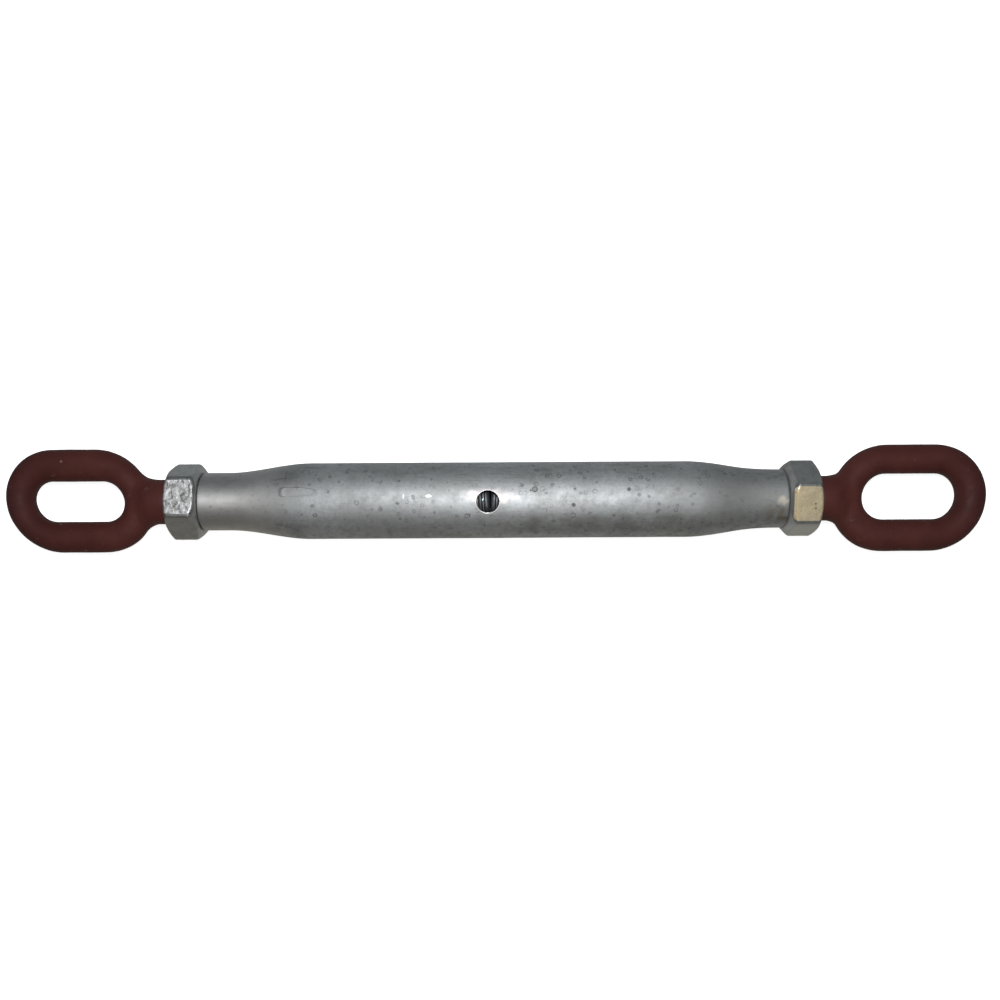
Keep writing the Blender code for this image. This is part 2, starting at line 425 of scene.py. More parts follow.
def dent_depth(x, angle):
    """How far the dent pushes the skin in: blunt at its -X end and drawn out to a point at the other."""
    along = (x - DENT_X) / DENT_HALF_LENGTH
    across = (angle - DENT_ANGLE) * PIPE_RADIUS / DENT_HALF_WIDTH
    narrowing = np.clip(0.75 - 0.25 * along, 0.2, 1.0)
    reach = (along * np.where(along > 0.0, 1.0, 1.25)) ** 4 + (across / narrowing) ** 4
    return DENT_DEPTH * (1.0 - 0.6 * np.clip(along, 0.0, 1.0)) * (1.0 - smooth_step(reach, 0.6, 1.2))


def rounded_hole_cutter(name, centre, tilt, sign):
    """A plug the size of the cross hole whose outer end flares, so that the hole's edge comes out broken."""
    angle = np.linspace(0.0, 2.0 * math.pi, HOLE_SEGMENTS, endpoint=False)
    # how much wider than the hole and how far above the skin, in mm
    flare = ((0.0, -7.0), (0.0, -0.30), (0.08, -0.14), (0.24, -0.05), (0.5, 0.0), (0.7, 0.05), (1.0, 4.0))
    rings = []
    for widening, above_skin in flare:
        radius = HOLE_RADIUS + widening * MM
        x = radius * np.cos(angle)
        y = radius * np.sin(angle)
        skin = np.sqrt(PIPE_RADIUS**2 - y**2)
        height = skin + above_skin * MM
        rings.append(np.stack([centre + x, y, sign * height], axis=-1))
    verts = np.concatenate(rings)
    turned = verts.copy()
    turned[:, 1] = verts[:, 1] * math.cos(tilt) - verts[:, 2] * math.sin(tilt)
    turned[:, 2] = verts[:, 1] * math.sin(tilt) + verts[:, 2] * math.cos(tilt)
    faces = tube_faces(len(flare), HOLE_SEGMENTS, closed=False)
    faces.append(tuple(range(HOLE_SEGMENTS)))
    faces.append(tuple(range(len(verts) - HOLE_SEGMENTS, len(verts))))
    return new_object(name, mesh_from(name, turned, faces))


def pipe_mesh():
    """Rings of points along the uneven, dented outside and back along the inside."""
    steps = int(2.0 * PIPE_HALF_LENGTH / PIPE_RING_STEP)
    stations = np.linspace(-PIPE_HALF_LENGTH, PIPE_HALF_LENGTH, steps)
    rounding = PIPE_HALF_LENGTH - PIPE_END_ROUNDING * np.array([0.05, 0.2, 0.45, 0.7])
    stations = np.sort(np.concatenate([stations, rounding, -rounding]))
    angle = np.linspace(0.0, 2.0 * math.pi, PIPE_SEGMENTS, endpoint=False)
    x, turn = np.meshgrid(stations, angle, indexing="ij")
    radius = pipe_outside(x)
    outer = around_x(x + PIPE_MIDDLE, radius, turn)
    uneven = lumps(outer.reshape(-1, 3), 11.0 * MM, 4.0).reshape(x.shape)
    signed_turn = np.where(turn > math.pi, turn - 2.0 * math.pi, turn)
    radius = radius - PIPE_UNEVENNESS * (0.5 + 0.5 * uneven) - dent_depth(x + PIPE_MIDDLE, signed_turn)
    outer = around_x(x + PIPE_MIDDLE, radius, turn).reshape(-1, 3)
    inner_stations = np.linspace(PIPE_HALF_LENGTH, -PIPE_HALF_LENGTH, PIPE_INNER_RINGS)
    inner_x, inner_turn = np.meshgrid(inner_stations, angle, indexing="ij")
    inner_radius = np.maximum(pipe_outside(inner_x) - PIPE_WALL, PIPE_BORE_RADIUS)
    inner = around_x(inner_x + PIPE_MIDDLE, inner_radius, inner_turn).reshape(-1, 3)
    rings = len(stations) + len(inner_stations)
    verts = np.concatenate([outer, inner])
    return mesh_from("pipe", verts, tube_faces(rings, PIPE_SEGMENTS, closed=True))


def cross_hole():
    """Where the cross hole is along the pipe, and how far it leans, from the record's openings."""
    openings = {o["name"]: o["box_m"] for o in frame["record"]["physics"]["openings"]}
    low, high = (Vector(corner) for corner in openings["cross_hole_top"])
    centre = (low + high) / 2.0
    return centre.x, math.atan2(-centre.y, centre.z)


def zinc(m, blotch, lines, mottle):
    """Dull zinc with fine drawn lines and a touch of rose and green."""
    grain = m.noise(0.9 * MM, 2.0, 0.6)
    stain = m.noise(4.5 * MM, 3.0, 0.6)
    speck = m.noise(0.45 * MM, 1.0, 0.5)
    tinge = m.noise(1.2 * MM, 2.0, 0.6)
    colour = m.blend(m.mapped(blotch, 0.3, 0.7), grey(0.41, (0.97, 1.0, 1.01)), grey(0.49, (0.96, 1.0, 1.03)))
    for pattern, none, full, strength, tone in (
            (mottle, 0.35, 0.65, 0.32, grey(0.27, (1.0, 1.0, 0.98))),
            (grain, 0.35, 0.75, 0.25, grey(0.22)),
            (lines, 0.5, 0.8, 0.25, grey(0.23)),
            (stain, 0.54, 0.72, 0.32, grey(0.24, (1.0, 0.98, 0.95))),
            (speck, 0.66, 0.76, 0.35, grey(0.75)),
            (tinge, 0.50, 0.70, 0.16, (0.56, 0.42, 0.42, 1.0)),
            (tinge, 0.46, 0.28, 0.16, (0.33, 0.46, 0.42, 1.0))):
        colour = m.paint(colour, tone, m.mapped(pattern, none, full), strength)
    return colour


def drop_rings(m, colour, skin):
    """Ring marks left by drops, about 2 mm across, each cell of the pattern with its own size or none."""
    distance, (red, green, blue) = m.cells(RING_CELL, place=skin)
    ring_radius = m.scaled(green, 0.10, 0.10)
    ring = m.times(m.mapped(m.apart(distance, ring_radius), 0.07, 0.01), m.mapped(red, 0.2, 0.85))
    ring = m.times(ring, m.mapped(m.noise(2.5 * MM), 0.34, 0.58))
    filled = m.times(m.above(ring_radius, distance), m.mapped(blue, 0.6, 0.9, 0.0, 0.35))
    ring = m.larger(ring, m.times(filled, m.mapped(red, 0.35, 0.6)))
    colour = m.paint(colour, grey(0.12, (0.96, 1.0, 1.0)), ring, 0.7)
    # and more of them, fainter and closer together
    distance, (red, green, _) = m.cells(FAINT_RING_CELL, place=skin)
    off_ring = m.apart(distance, m.scaled(green, 0.10, 0.14))
    faint = m.times(m.mapped(off_ring, 0.12, 0.02), m.mapped(red, 0.15, 0.6))
    faint = m.times(faint, m.mapped(m.noise(2.0 * MM), 0.34, 0.54))
    return m.paint(colour, grey(0.12, (0.96, 1.0, 1.0)), faint, 0.55), ring


def pits(m, colour, skin):
    distance, (red, green, _) = m.cells(PIT_CELL, place=skin)
    pit = m.times(m.above(m.scaled(green, 0.06, 0.03), distance), m.mapped(red, 0.66, 0.70))
    return m.paint(colour, grey(0.05), pit, 0.7), pit


def streaks(m, colour, upper):
    streak = m.noise(1.3 * MM, 3.0, 0.6, place=m.unrolled(PIPE_RADIUS, along=0.06))
    streak = m.times(m.mapped(streak, 0.58, 0.70), m.scaled(upper, 0.45, 0.12))
    return m.paint(colour, grey(0.13, (0.95, 1.0, 1.05)), streak)


def dashes(m, colour, upper, hole_x):
    """Short dark dashes, and a group of longer ones beyond the cross hole."""
    dash = m.noise(0.9 * MM, 2.0, 0.5, place=m.unrolled(PIPE_RADIUS, along=0.35))
    dash = m.times(m.mapped(dash, 0.66, 0.74), m.scaled(upper, 0.4, 0.15))
    colour = m.paint(colour, grey(0.10), dash)
    from_group = m.minus(m.x, hole_x + STREAK_GROUP_BEYOND_HOLE)
    group = m.box_patch(from_group, m.minus(m.angle, STREAK_GROUP_ANGLE), 13.0 * MM, 0.16, 0.0, 0.02)
    longer = m.noise(1.0 * MM, 3.0, 0.6, place=m.unrolled(PIPE_RADIUS, along=0.12))
    return m.paint(colour, grey(0.14, (0.97, 1.0, 1.03)), m.times(group, m.mapped(longer, 0.48, 0.62)), 0.5)


def low_side_darkening_and_rust(m, colour):
    """Soft dark blotches low on the -Y side, a darker, warmer band below the highlight on the right, and rust
    by the right nut.
    """
    blotches = m.times(m.mapped(m.angle, -0.25, -0.55), m.mapped(m.noise(5.0 * MM, 4.0, 0.65), 0.48, 0.62))
    colour = m.paint(colour, grey(0.20, (1.0, 1.0, 0.97)), blotches, 0.42)

    low_band = m.times(m.band(m.angle, -0.30, -0.50, -0.85, -1.15), m.band(m.x, *LOW_BAND_SPAN))
    low_band = m.times(low_band, m.mapped(m.noise(9.0 * MM, 4.0), 0.3, 0.6))
    colour = m.paint(colour, grey(0.18, (1.0, 0.98, 0.86)), low_band, 0.45)

    rust = m.mapped(m.x, PIPE_HIGH.x - 16.0 * MM, PIPE_HIGH.x - 4.0 * MM)
    rust = m.times(rust, m.band(m.angle, 0.05, -0.20, -0.7, -1.1))
    rust = m.times(rust, m.mapped(m.noise(4.0 * MM, 4.0), 0.35, 0.6))
    return m.paint(colour, (0.17, 0.115, 0.06, 1.0), rust, 0.75)


def dent_shade_and_scratch(m, colour):
    """Painted shade on the upper and blunt edges of the dent, a painted lighter floor in it and a thin
    scratch above it.
    """
    along = m.over(m.minus(m.x, DENT_X), DENT_HALF_LENGTH)
    across = m.over(m.minus(m.angle, DENT_ANGLE), DENT_HALF_WIDTH / PIPE_RADIUS)
    reach = m.plus(m.fourth_power(m.over(across, m.scaled(along, -0.25, 0.75))), m.fourth_power(along))
    edge = m.mapped(m.apart(reach, 0.85), 0.5, 0.1)
    edge_side = m.larger(m.mapped(across, -0.3, 0.4), m.mapped(along, -0.5, -0.9))
    edge = m.times(edge, edge_side, m.mapped(along, 1.1, 0.3, 0.3, 1.0))
    # painted light on the dent's floor, then painted shade on its upper and blunt edges
    colour = m.paint(colour, grey(0.52), m.mapped(reach, 0.7, 0.3), 0.2)
    colour = m.paint(colour, grey(0.11), edge, 0.8)

    scratch = m.mapped(m.apart(m.x, DENT_X - 5.7 * MM), 0.45 * MM, 0.15 * MM)
    scratch = m.times(scratch, m.band(m.y, 7.8 * MM, 8.8 * MM, 12.4 * MM, 13.6 * MM), m.above(m.z, 0.0))
    return m.paint(colour, grey(0.13), scratch, 0.5)


def uneven_tone_and_top_highlight(m, colour, blotch, bright_end):
    """Painted highlight along the top of both shoulders, duller left of the hole and at the right end, bright
    at the left.
    """
    # a lighter band along the top of both shoulders: painted highlight
    painted_top_highlight = m.times(m.mapped(m.maths("ABSOLUTE", m.angle), 0.85, 0.1), m.mapped(m.z, 0.0, 10.0 * MM))
    right_shoulder = m.mapped(m.x, 78.0 * MM, 95.0 * MM, 0.0, 0.45)
    painted_top_highlight = m.times(painted_top_highlight, m.scaled(m.band(m.x, *LEFT_SHOULDER_SPAN), 0.25, right_shoulder))
    colour = m.paint(colour, grey(0.76, (1.02, 1.0, 0.98)), painted_top_highlight, 0.6)
    colour = m.paint(colour, grey(0.30), m.band(m.x, *DULL_LEFT_SPAN), 0.28)
    dull = m.times(m.mapped(m.x, *RIGHT_END_SPAN), m.mapped(blotch, 0.25, 0.6, 0.6, 1.0))
    dull = m.times(dull, m.mapped(m.angle, -1.05, -0.70, 0.2, 1.0))
    colour = m.paint(colour, grey(0.25, (0.97, 1.0, 0.95)), dull, 0.36)
    return m.paint(colour, grey(0.58, (1.04, 1.0, 0.97)), bright_end, 0.55)


def hole_glint_and_bare_rim(m, colour, hole_x, hole_y):
    """A painted glint beside the cross hole, and bare round its broken edge."""
    off_x = m.over(m.minus(m.x, hole_x), GLINT_HALF_LENGTH)
    off_y = m.over(m.minus(m.y, GLINT_Y), GLINT_HALF_WIDTH)
    reach = m.plus(m.times(off_x, off_x), m.times(off_y, off_y))
    reach = m.plus(reach, m.mapped(m.noise(2.2 * MM, 3.0), 0.3, 0.7, -0.35, 0.35))
    painted_glint = m.times(m.mapped(reach, 1.5, 0.2), m.mapped(m.z, 0.0, 10.0 * MM))
    # a pale patch beside the hole: painted glint
    colour = m.paint(colour, (0.57, 0.53, 0.53, 1.0), painted_glint, 0.85)
    from_hole = m.length(m.minus(m.x, hole_x), m.minus(m.y, hole_y))
    rim = m.times(m.mapped(from_hole, HOLE_RADIUS + 0.5 * MM, HOLE_RADIUS + 0.25 * MM), m.above(m.z, 0.0))
    return m.paint(colour, (0.66, 0.63, 0.63, 1.0), rim), painted_glint, rim


def glint_and_chips(m, colour, hole_x):
    """A painted glint against the right nut, and two bright chips on the other side of the hole."""
    for spot_x, spot_y, half_x, half_y, solid, tone in (
            # a warm painted glint against the right nut
            (PIPE_HIGH.x - 3.0 * MM, -0.8 * MM, 2.4 * MM, 1.9 * MM, -1.0, (0.84, 0.78, 0.64, 1.0)),
            (hole_x - 25.3 * MM, 1.9 * MM, 1.3 * MM, 0.5 * MM, 0.5, (1.0, 1.0, 0.98, 1.0)),
            (hole_x - 35.9 * MM, 1.6 * MM, 0.3 * MM, 1.0 * MM, 0.5, (0.9, 0.9, 0.92, 1.0))):
        off_x = m.over(m.minus(m.x, spot_x), half_x)
        off_y = m.over(m.minus(m.y, spot_y), half_y)
        reach = m.plus(m.times(off_x, off_x), m.times(off_y, off_y))
        reach = m.plus(reach, m.mapped(m.noise(1.5 * MM, 2.0), 0.3, 0.7, -0.5, 0.5))
        spot = m.times(m.mapped(reach, 1.9, solid), m.mapped(m.z, 0.0, 10.0 * MM))
        colour = m.paint(colour, tone, spot, 0.85)
    return colour


def painted_shade_inside(m, colour):
    """Painted shade inside the pipe, away from its ends."""
    inside = m.mapped(m.radius(), PIPE_RADIUS - 1.2 * MM, PIPE_RADIUS - 2.0 * MM)
    inside = m.times(inside, m.above(80.0 * MM, m.maths("ABSOLUTE", m.x)))
    return m.paint(colour, grey(0.05), inside)


def pipe_material(hole_x, hole_y):
    m = Material("galvanised_pipe", metallic=1.0, roughness=0.5)
    skin = m.unrolled(PIPE_RADIUS)
    blotch = m.noise(14.0 * MM, 3.0, 0.55)
    lines = m.noise(0.8 * MM, 2.0, 0.6, place=m.unrolled(PIPE_RADIUS, along=0.06))
    mottle = m.noise(1.7 * MM, 4.0, 0.7)
    upper = m.band(m.angle, 0.4, 0.7, 1.2, 1.5)
    bright_end = m.mapped(m.x, *LEFT_END_SPAN)

    colour = zinc(m, blotch, lines, mottle)
    colour = streaks(m, colour, upper)
    colour, ring = drop_rings(m, colour, skin)
    colour = dashes(m, colour, upper, hole_x)
    colour, pit = pits(m, colour, skin)
    colour = low_side_darkening_and_rust(m, colour)
    colour = dent_shade_and_scratch(m, colour)
    colour = uneven_tone_and_top_highlight(m, colour, blotch, bright_end)
    colour, painted_glint, rim = hole_glint_and_bare_rim(m, colour, hole_x, hole_y)
    colour = glint_and_chips(m, colour, hole_x)
    marks = m.larger(ring, pit)

    rough = m.mapped(m.noise(5.0 * MM, 4.0), 0.2, 0.8, 0.57, 0.68)
    rough = m.plus(rough, m.times(marks, 0.15))
    middle = m.mapped(m.apart(m.x, 15.0 * MM), 95.0 * MM, 60.0 * MM)
    for mask, smoother in ((painted_glint, 0.02), (rim, 0.12), (middle, 0.03), (bright_end, 0.02)):
        rough = m.minus(rough, m.times(mask, smoother))
    m.give(Base_Color=painted_shade_inside(m, colour), Roughness=rough)

    # the drawn lines run along the pipe, so light spreads further round it than along it; the left
    # shoulder and end were turned in a lathe, and there it is the other way about
    along_pipe = m.mapped(m.x, LATHE_TURNED_TO, LATHE_TURNED_TO + 12.0 * MM, 0.0, 0.35)
    round_pipe = m.mapped(m.x, LATHE_TURNED_TO, LATHE_TURNED_TO - 30.0 * MM, 0.0, 0.42)
    m.give(Tangent=m.add("ShaderNodeTangent", direction_type="RADIAL", axis="X").outputs[0],
           Anisotropic=m.larger(along_pipe, round_pipe),
           Anisotropic_Rotation=m.times(m.above(LATHE_TURNED_TO, m.x), 0.25))
    relief = m.minus(m.plus(m.times(lines, 0.5), m.times(mottle, 1.2)), m.times(marks, 0.7))
    m.bump(relief, 0.03 * MM, 0.6)
    return m.data


def make_pipe():
    hole_x, tilt = cross_hole()
    pipe = new_object("pipe", pipe_mesh())
    cutters = [
        rounded_hole_cutter("hole_top", hole_x, tilt, 1.0),
        rounded_hole_cutter("hole_bottom", hole_x, tilt, -1.0),
    ]
    for cutter in cutters:
        cut = pipe.modifiers.new("Hole", "BOOLEAN")
        cut.operation = "DIFFERENCE"
        cut.solver = "EXACT"
        cut.object = cutter
    mesh = modified_mesh(pipe)
    for cutter in cutters:
        bpy.data.objects.remove(cutter, do_unlink=True)
    shade(mesh, 32.0)
    mesh.materials.append(pipe_material(hole_x, -PIPE_RADIUS * math.sin(tilt)))
    piece = new_object("pipe", mesh)
    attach(piece, "body")
    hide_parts("pipe_body")


# ---- screws -------------------------------------------------------------------------------


def thread_mesh(name, tip, neck, hand):
    """A helical thread from the tip to the neck, both given as x. The grid of points follows the helix."""
    length = abs(neck - tip)
    direction = 1.0 if neck > tip else -1.0
    # one pitch of the thread's outline: (share of the pitch, depth from crest to root)
    crest = ((-0.0625, 0.0), (0.0625, 0.0))
    groove = ((0.21, 0.47), (0.36, 0.93), (0.5, 1.0), (0.64, 0.93), (0.79, 0.47))
    outline = crest + groove
    turns = int(length / THREAD_PITCH) + 4
    thread_depth = THREAD_CREST_RADIUS - THREAD_ROOT_RADIUS
    verts = []
    for turn in range(-3, turns):
        for share, depth in outline:
            for j in range(THREAD_SEGMENTS):
                around = j / THREAD_SEGMENTS
                along = (turn + share + around) * THREAD_PITCH
                along = min(max(along, 0.0), length)
                run_out = min(max((along - length + 2.0 * THREAD_PITCH) / THREAD_PITCH, 0.0), 1.0)
                radius = THREAD_CREST_RADIUS - thread_depth * depth * (1.0 - run_out)
                radius = min(radius, SCREW_TIP_RADIUS + along, SCREW_TIP_RADIUS + (length - along) * 0.5)
                angle = 2.0 * math.pi * around * hand * direction
                verts.append((tip + direction * along, -radius * math.sin(angle), radius * math.cos(angle)))
    rings = len(verts) // THREAD_SEGMENTS
    faces = []
    for i in range(rings - 1):
        for j in range(THREAD_SEGMENTS):
            if j + 1 < THREAD_SEGMENTS:
                right = i * THREAD_SEGMENTS + j + 1
            else:
                right = (i + len(outline)) * THREAD_SEGMENTS
            far_right = right + THREAD_SEGMENTS
            if far_right < len(verts):
                faces.append((i * THREAD_SEGMENTS + j, right, far_right, (i + 1) * THREAD_SEGMENTS + j))
    mesh = bpy.data.meshes.new(name)
    mesh.from_pydata(verts, [], faces)
    bm = bmesh.new()
    bm.from_mesh(mesh)
    bmesh.ops.remove_doubles(bm, verts=bm.verts, dist=1e-6)
    loose = [v for v in bm.verts if not v.link_faces]
    bmesh.ops.delete(bm, geom=loose, context="VERTS")
    bmesh.ops.holes_fill(bm, edges=[e for e in bm.edges if e.is_boundary])
    bmesh.ops.recalc_face_normals(bm, faces=bm.faces)
    bm.to_mesh(mesh)
    bm.free()
    return mesh


def screw_material(glint_x):
    m = Material("oiled_thread", metallic=1.0, roughness=0.35)
    lines = m.noise(2.5 * MM, 3.0, 0.6, place=m.unrolled(THREAD_CREST_RADIUS, along=14.0))
    dirt = m.noise(3.5 * MM, 3.0, 0.6)
    # the roots are painted darker than the crests: painted shade in the grooves
    crest = m.mapped(m.radius(), THREAD_CREST_RADIUS - 0.5 * MM, THREAD_CREST_RADIUS)
    colour = m.blend(crest, grey(0.17, (0.95, 1.0, 1.05)), grey(0.26, (0.97, 1.0, 1.04)))
    colour = m.paint(colour, grey(0.12), m.mapped(lines, 0.4, 0.7), 0.25)
    colour = m.paint(colour, (0.10, 0.085, 0.07, 1.0), m.mapped(dirt, 0.5, 0.7), 0.5)
    # a painted cyan glint on the screw under the cross hole
    off_x, off_y = m.minus(m.x, glint_x), m.minus(m.y, 0.2 * MM)
    glint_spot = m.times(m.box_patch(off_x, off_y, 0.3 * MM, 0.4 * MM, 0.2 * MM, 0.15 * MM), m.above(m.z, 0.0))
    colour = m.paint(colour, (0.75, 1.0, 1.0, 1.0), glint_spot)
    m.give(Base_Color=colour, Roughness=m.minus(m.mapped(dirt, 0.3, 0.7, 0.5, 0.68), m.times(glint_spot, 0.3)))
    m.bump(lines, 0.02 * MM, 0.5)
    return m.data


def make_screws():
    finish = screw_material(cross_hole()[0] - 2.4 * MM)
    for side, hand, low_name in ((-1.0, 1.0, "left"), (1.0, -1.0, "right")):
        low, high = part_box(low_name + "_stud")
        nut_low, nut_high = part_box(low_name + "_lock_nut")
        tip = high.x if side < 0.0 else low.x
        neck = nut_low.x - SCREW_IN_NECK if side < 0.0 else nut_high.x + SCREW_IN_NECK
        mesh = thread_mesh(low_name + "_screw", tip, neck, hand)
        shade(mesh, 40.0)
        mesh.materials.append(finish)
        piece = new_object(low_name + "_screw", mesh)
        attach(piece, low_name + "_eye")
        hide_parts(low_name + "_stud")


# ---- lock nuts ----------------------------------------------------------------------------


def rounded_sixth():
    """Angles from the middle of one flat round to the next corner's far side, and the radius at each."""
    half_flat = NUT_ACROSS_FLATS / 2.0
    corner = math.radians(30.0)
    to_flat_end = math.atan(math.tan(corner) * (1.0 - NUT_CORNER_ROUNDING / half_flat))
    on_flat = np.linspace(-to_flat_end, to_flat_end, NUT_FLAT_STEPS)
    on_corner = np.linspace(to_flat_end, 2.0 * corner - to_flat_end, NUT_CORNER_STEPS + 1)[1:-1]
    centre = (half_flat - NUT_CORNER_ROUNDING) / math.cos(corner)
    aside = on_corner - corner
    corner_radius = centre * np.cos(aside) + np.sqrt(NUT_CORNER_ROUNDING**2 - (centre * np.sin(aside)) ** 2)
    radius = np.concatenate([half_flat / np.cos(on_flat), corner_radius])
    return np.concatenate([on_flat, on_corner]), radius


def nut_face_rings(hexagon, chamfer):
    """Rings from the bore's edge over a face and its chamfer: (distance from the face, radius all round)."""
    from_face = np.concatenate([np.linspace(0.0, 3.2, 17), np.linspace(3.6, 7.25, 9)]) * MM
    cone = NUT_FACE_RADIUS + from_face / math.tan(math.radians(chamfer))
    all_round = np.ones_like(hexagon)
    rings = [(0.9 * MM, NUT_BORE_RADIUS * all_round), (0.0, (NUT_BORE_RADIUS + 0.9 * MM) * all_round)]
    face_steps = np.linspace(NUT_BORE_RADIUS + 1.5 * MM, NUT_FACE_RADIUS - 0.3 * MM, 6)
    rings += [(0.0, radius * all_round) for radius in face_steps]
    for distance, limit in zip(from_face, cone):
        blunt = 1.0 / hexagon**60 + 1.0 / limit**60
        rings.append((max(distance, 0.04 * MM), blunt ** (-1.0 / 60)))
    return rings


def nut_mesh(name, low_x, high_x, turn, low_chamfer, high_chamfer, roughness_height, seed):
    """A chamfered hexagon nut with rounded corners, as rings of points whose radius follows the hexagon."""
    thickness = high_x - low_x
    middle = (low_x + high_x) / 2.0
    off_flat, sixth = rounded_sixth()
    angle = np.concatenate([turn + math.radians(60.0 * i) + off_flat for i in range(6)])
    hexagon = np.tile(sixth, 6)

    loop = [(distance - thickness / 2.0, radius) for distance, radius in nut_face_rings(hexagon, low_chamfer)]
    other_face = nut_face_rings(hexagon, high_chamfer)[:-1]
    loop += [(thickness / 2.0 - distance, radius) for distance, radius in reversed(other_face)]
    verts = np.concatenate([around_x(middle + x * np.ones_like(angle), radius, angle) for x, radius in loop])
    mesh = mesh_from(name, verts, tube_faces(len(loop), len(angle), closed=True))
    points = vertex_array(mesh)
    away = points * np.array([0.0, 1.0, 1.0])
    away /= np.linalg.norm(away, axis=1)[:, None]
    on_outside = smooth_step(np.linalg.norm(points[:, 1:], axis=1), 12.5 * MM, 14.0 * MM)
    height = lumps(points, 2.4 * MM, seed) * 0.6 + lumps(points, 1.1 * MM, seed + 5.0) * 0.4
    points += away * (roughness_height * (height - 0.6) * on_outside)[:, None]
    set_vertices(mesh, points)
    shade(mesh, 38.0)
    return mesh


def on_flat(m, flat, middle_x):
    """Masks for the nut's flat that faces along flat and for the narrow border round it where shade is
    painted,
    and the place on it: round the nut and along it."""
    height = m.plus(m.times(m.y, flat[1]), m.times(m.z, flat[2]))
    aside = m.minus(m.times(m.y, flat[2]), m.times(m.z, flat[1]))
    # the flat stops short of the chamfer on the side that faces the pipe
    along = m.minus(m.x, middle_x + math.copysign(0.3 * MM, middle_x))
    near = m.above(height, 0.9 * NUT_ACROSS_FLATS / 2.0)
    patch = m.times(m.box_patch(aside, along, 7.5 * MM, 6.35 * MM, NUT_CORNER_ROUNDING, 0.15 * MM), near)
    shaded_border = m.times(m.box_patch(aside, along, 8.9 * MM, 7.3 * MM, NUT_CORNER_ROUNDING, 0.3 * MM), near)
    return patch, m.minus(shaded_border, patch), aside, along


def left_nut_material(flat, middle_x):
    """Grey zinc, with the flat that faces up rough and broken into crystals, their bright patches partly
    painted highlight.
    """
    m = Material("rough_zinc", metallic=1.0, roughness=0.5)
    upper_flat, shaded_border = on_flat(m, flat, middle_x)[:2]
    red, green = m.cells(1.7 * MM)[1][:2]
    patches = m.noise(2.0 * MM, 4.0, 0.7)
    fine = m.noise(0.5 * MM, 2.0, 0.6)
    bright = m.mapped(patches, 0.36, 0.62)
    # the up-facing flat alone gets the crystals: a real pattern, partly a painted highlight
    crystals = m.blend(bright, grey(0.25, (1.0, 1.0, 0.96)), grey(0.80, (1.0, 0.98, 0.99)))
    plain = m.blend(m.mapped(patches, 0.3, 0.7), grey(0.40, (1.0, 1.0, 0.98)), grey(0.50, (0.99, 1.0, 1.0)))
    colour = m.blend(upper_flat, plain, crystals)
    colour = m.paint(colour, grey(0.42, (0.97, 1.0, 0.97)), red, 0.3)
    # painted shade on the border round the up-facing flat
    colour = m.paint(colour, grey(0.16, (0.92, 1.0, 0.97)), shaded_border, 0.5)
    colour = m.paint(colour, grey(0.2, (0.9, 1.0, 0.92)), m.mapped(fine, 0.6, 0.8), 0.3)
    m.give(Base_Color=colour, Roughness=m.mapped(green, 0.0, 1.0, 0.42, 0.58))
    relief = m.times(m.plus(patches, m.times(fine, 0.25)), m.scaled(upper_flat, 0.75, 0.25))
    m.bump(relief, 0.36 * MM, 0.8)
    return m.data


def right_nut_material(flat, middle_x):
    """Dull zinc, with a painted warm reflection on the flat that faces up."""
    m = Material("zinc_with_painted_reflection", metallic=0.85, roughness=0.55)
    fine = m.noise(0.55 * MM, 2.0, 0.6)
    patches = m.noise(4.0 * MM, 3.0, 0.6)
    pale = m.mapped(patches, 0.3, 0.7)
    colour = m.blend(pale, grey(0.31, (0.97, 1.0, 0.96)), grey(0.39, (0.98, 1.0, 0.98)))
    colour = m.paint(colour, grey(0.26), m.mapped(fine, 0.4, 0.75), 0.22)
    painted_reflection_flat, shaded_border, aside, along = on_flat(m, flat, middle_x)
    # the buff on the up-facing flat is a painted warm reflection
    buff = m.blend(m.mapped(fine, 0.35, 0.7), (0.60, 0.50, 0.33, 1.0), (0.75, 0.63, 0.42, 1.0))
    buff = m.paint(buff, (0.60, 0.56, 0.46, 1.0), m.mapped(m.noise(2.2 * MM, 3.0), 0.45, 0.7), 0.4)
    colour = m.blend(painted_reflection_flat, colour, buff)
    # painted shade on the border round the up-facing flat
    colour = m.paint(colour, grey(0.14, (0.97, 1.0, 0.97)), shaded_border, 0.6)
    # two pits, and a painted glint on one corner of that flat
    for spot_along, spot_aside, size, tone in (
            (2.7, 0.0, 0.55, 0.10), (2.9, -2.1, 0.5, 0.10), (-5.9, 6.6, 1.2, 0.66)):
        reach = m.length(m.minus(along, spot_along * MM), m.minus(aside, spot_aside * MM))
        spot = m.times(m.mapped(reach, size * MM, 0.4 * size * MM), painted_reflection_flat)
        colour = m.paint(colour, grey(tone), spot, 0.8)
    distance, own = m.cells(3.3 * MM)
    pit = m.times(m.mapped(distance, 0.14, 0.07), m.mapped(own[0], 0.60, 0.64))
    colour = m.paint(colour, grey(0.12), pit, 0.8)
    # the -Y side is painted lighter: painted light
    colour = m.paint(colour, grey(0.62, (1.0, 1.0, 0.97)), m.mapped(m.y, -9.0 * MM, -13.0 * MM), 0.7)
    # the edge on the side of the pipe is the dullest
    edge = m.mapped(along, -4.4 * MM, -5.4 * MM, 0.0, 0.85)
    m.give(Base_Color=colour, Roughness=m.larger(m.mapped(patches, 0.3, 0.7, 0.44, 0.56), edge))
    m.bump(m.minus(m.times(fine, 0.5), pit), 0.12 * MM, 0.6)
    return m.data


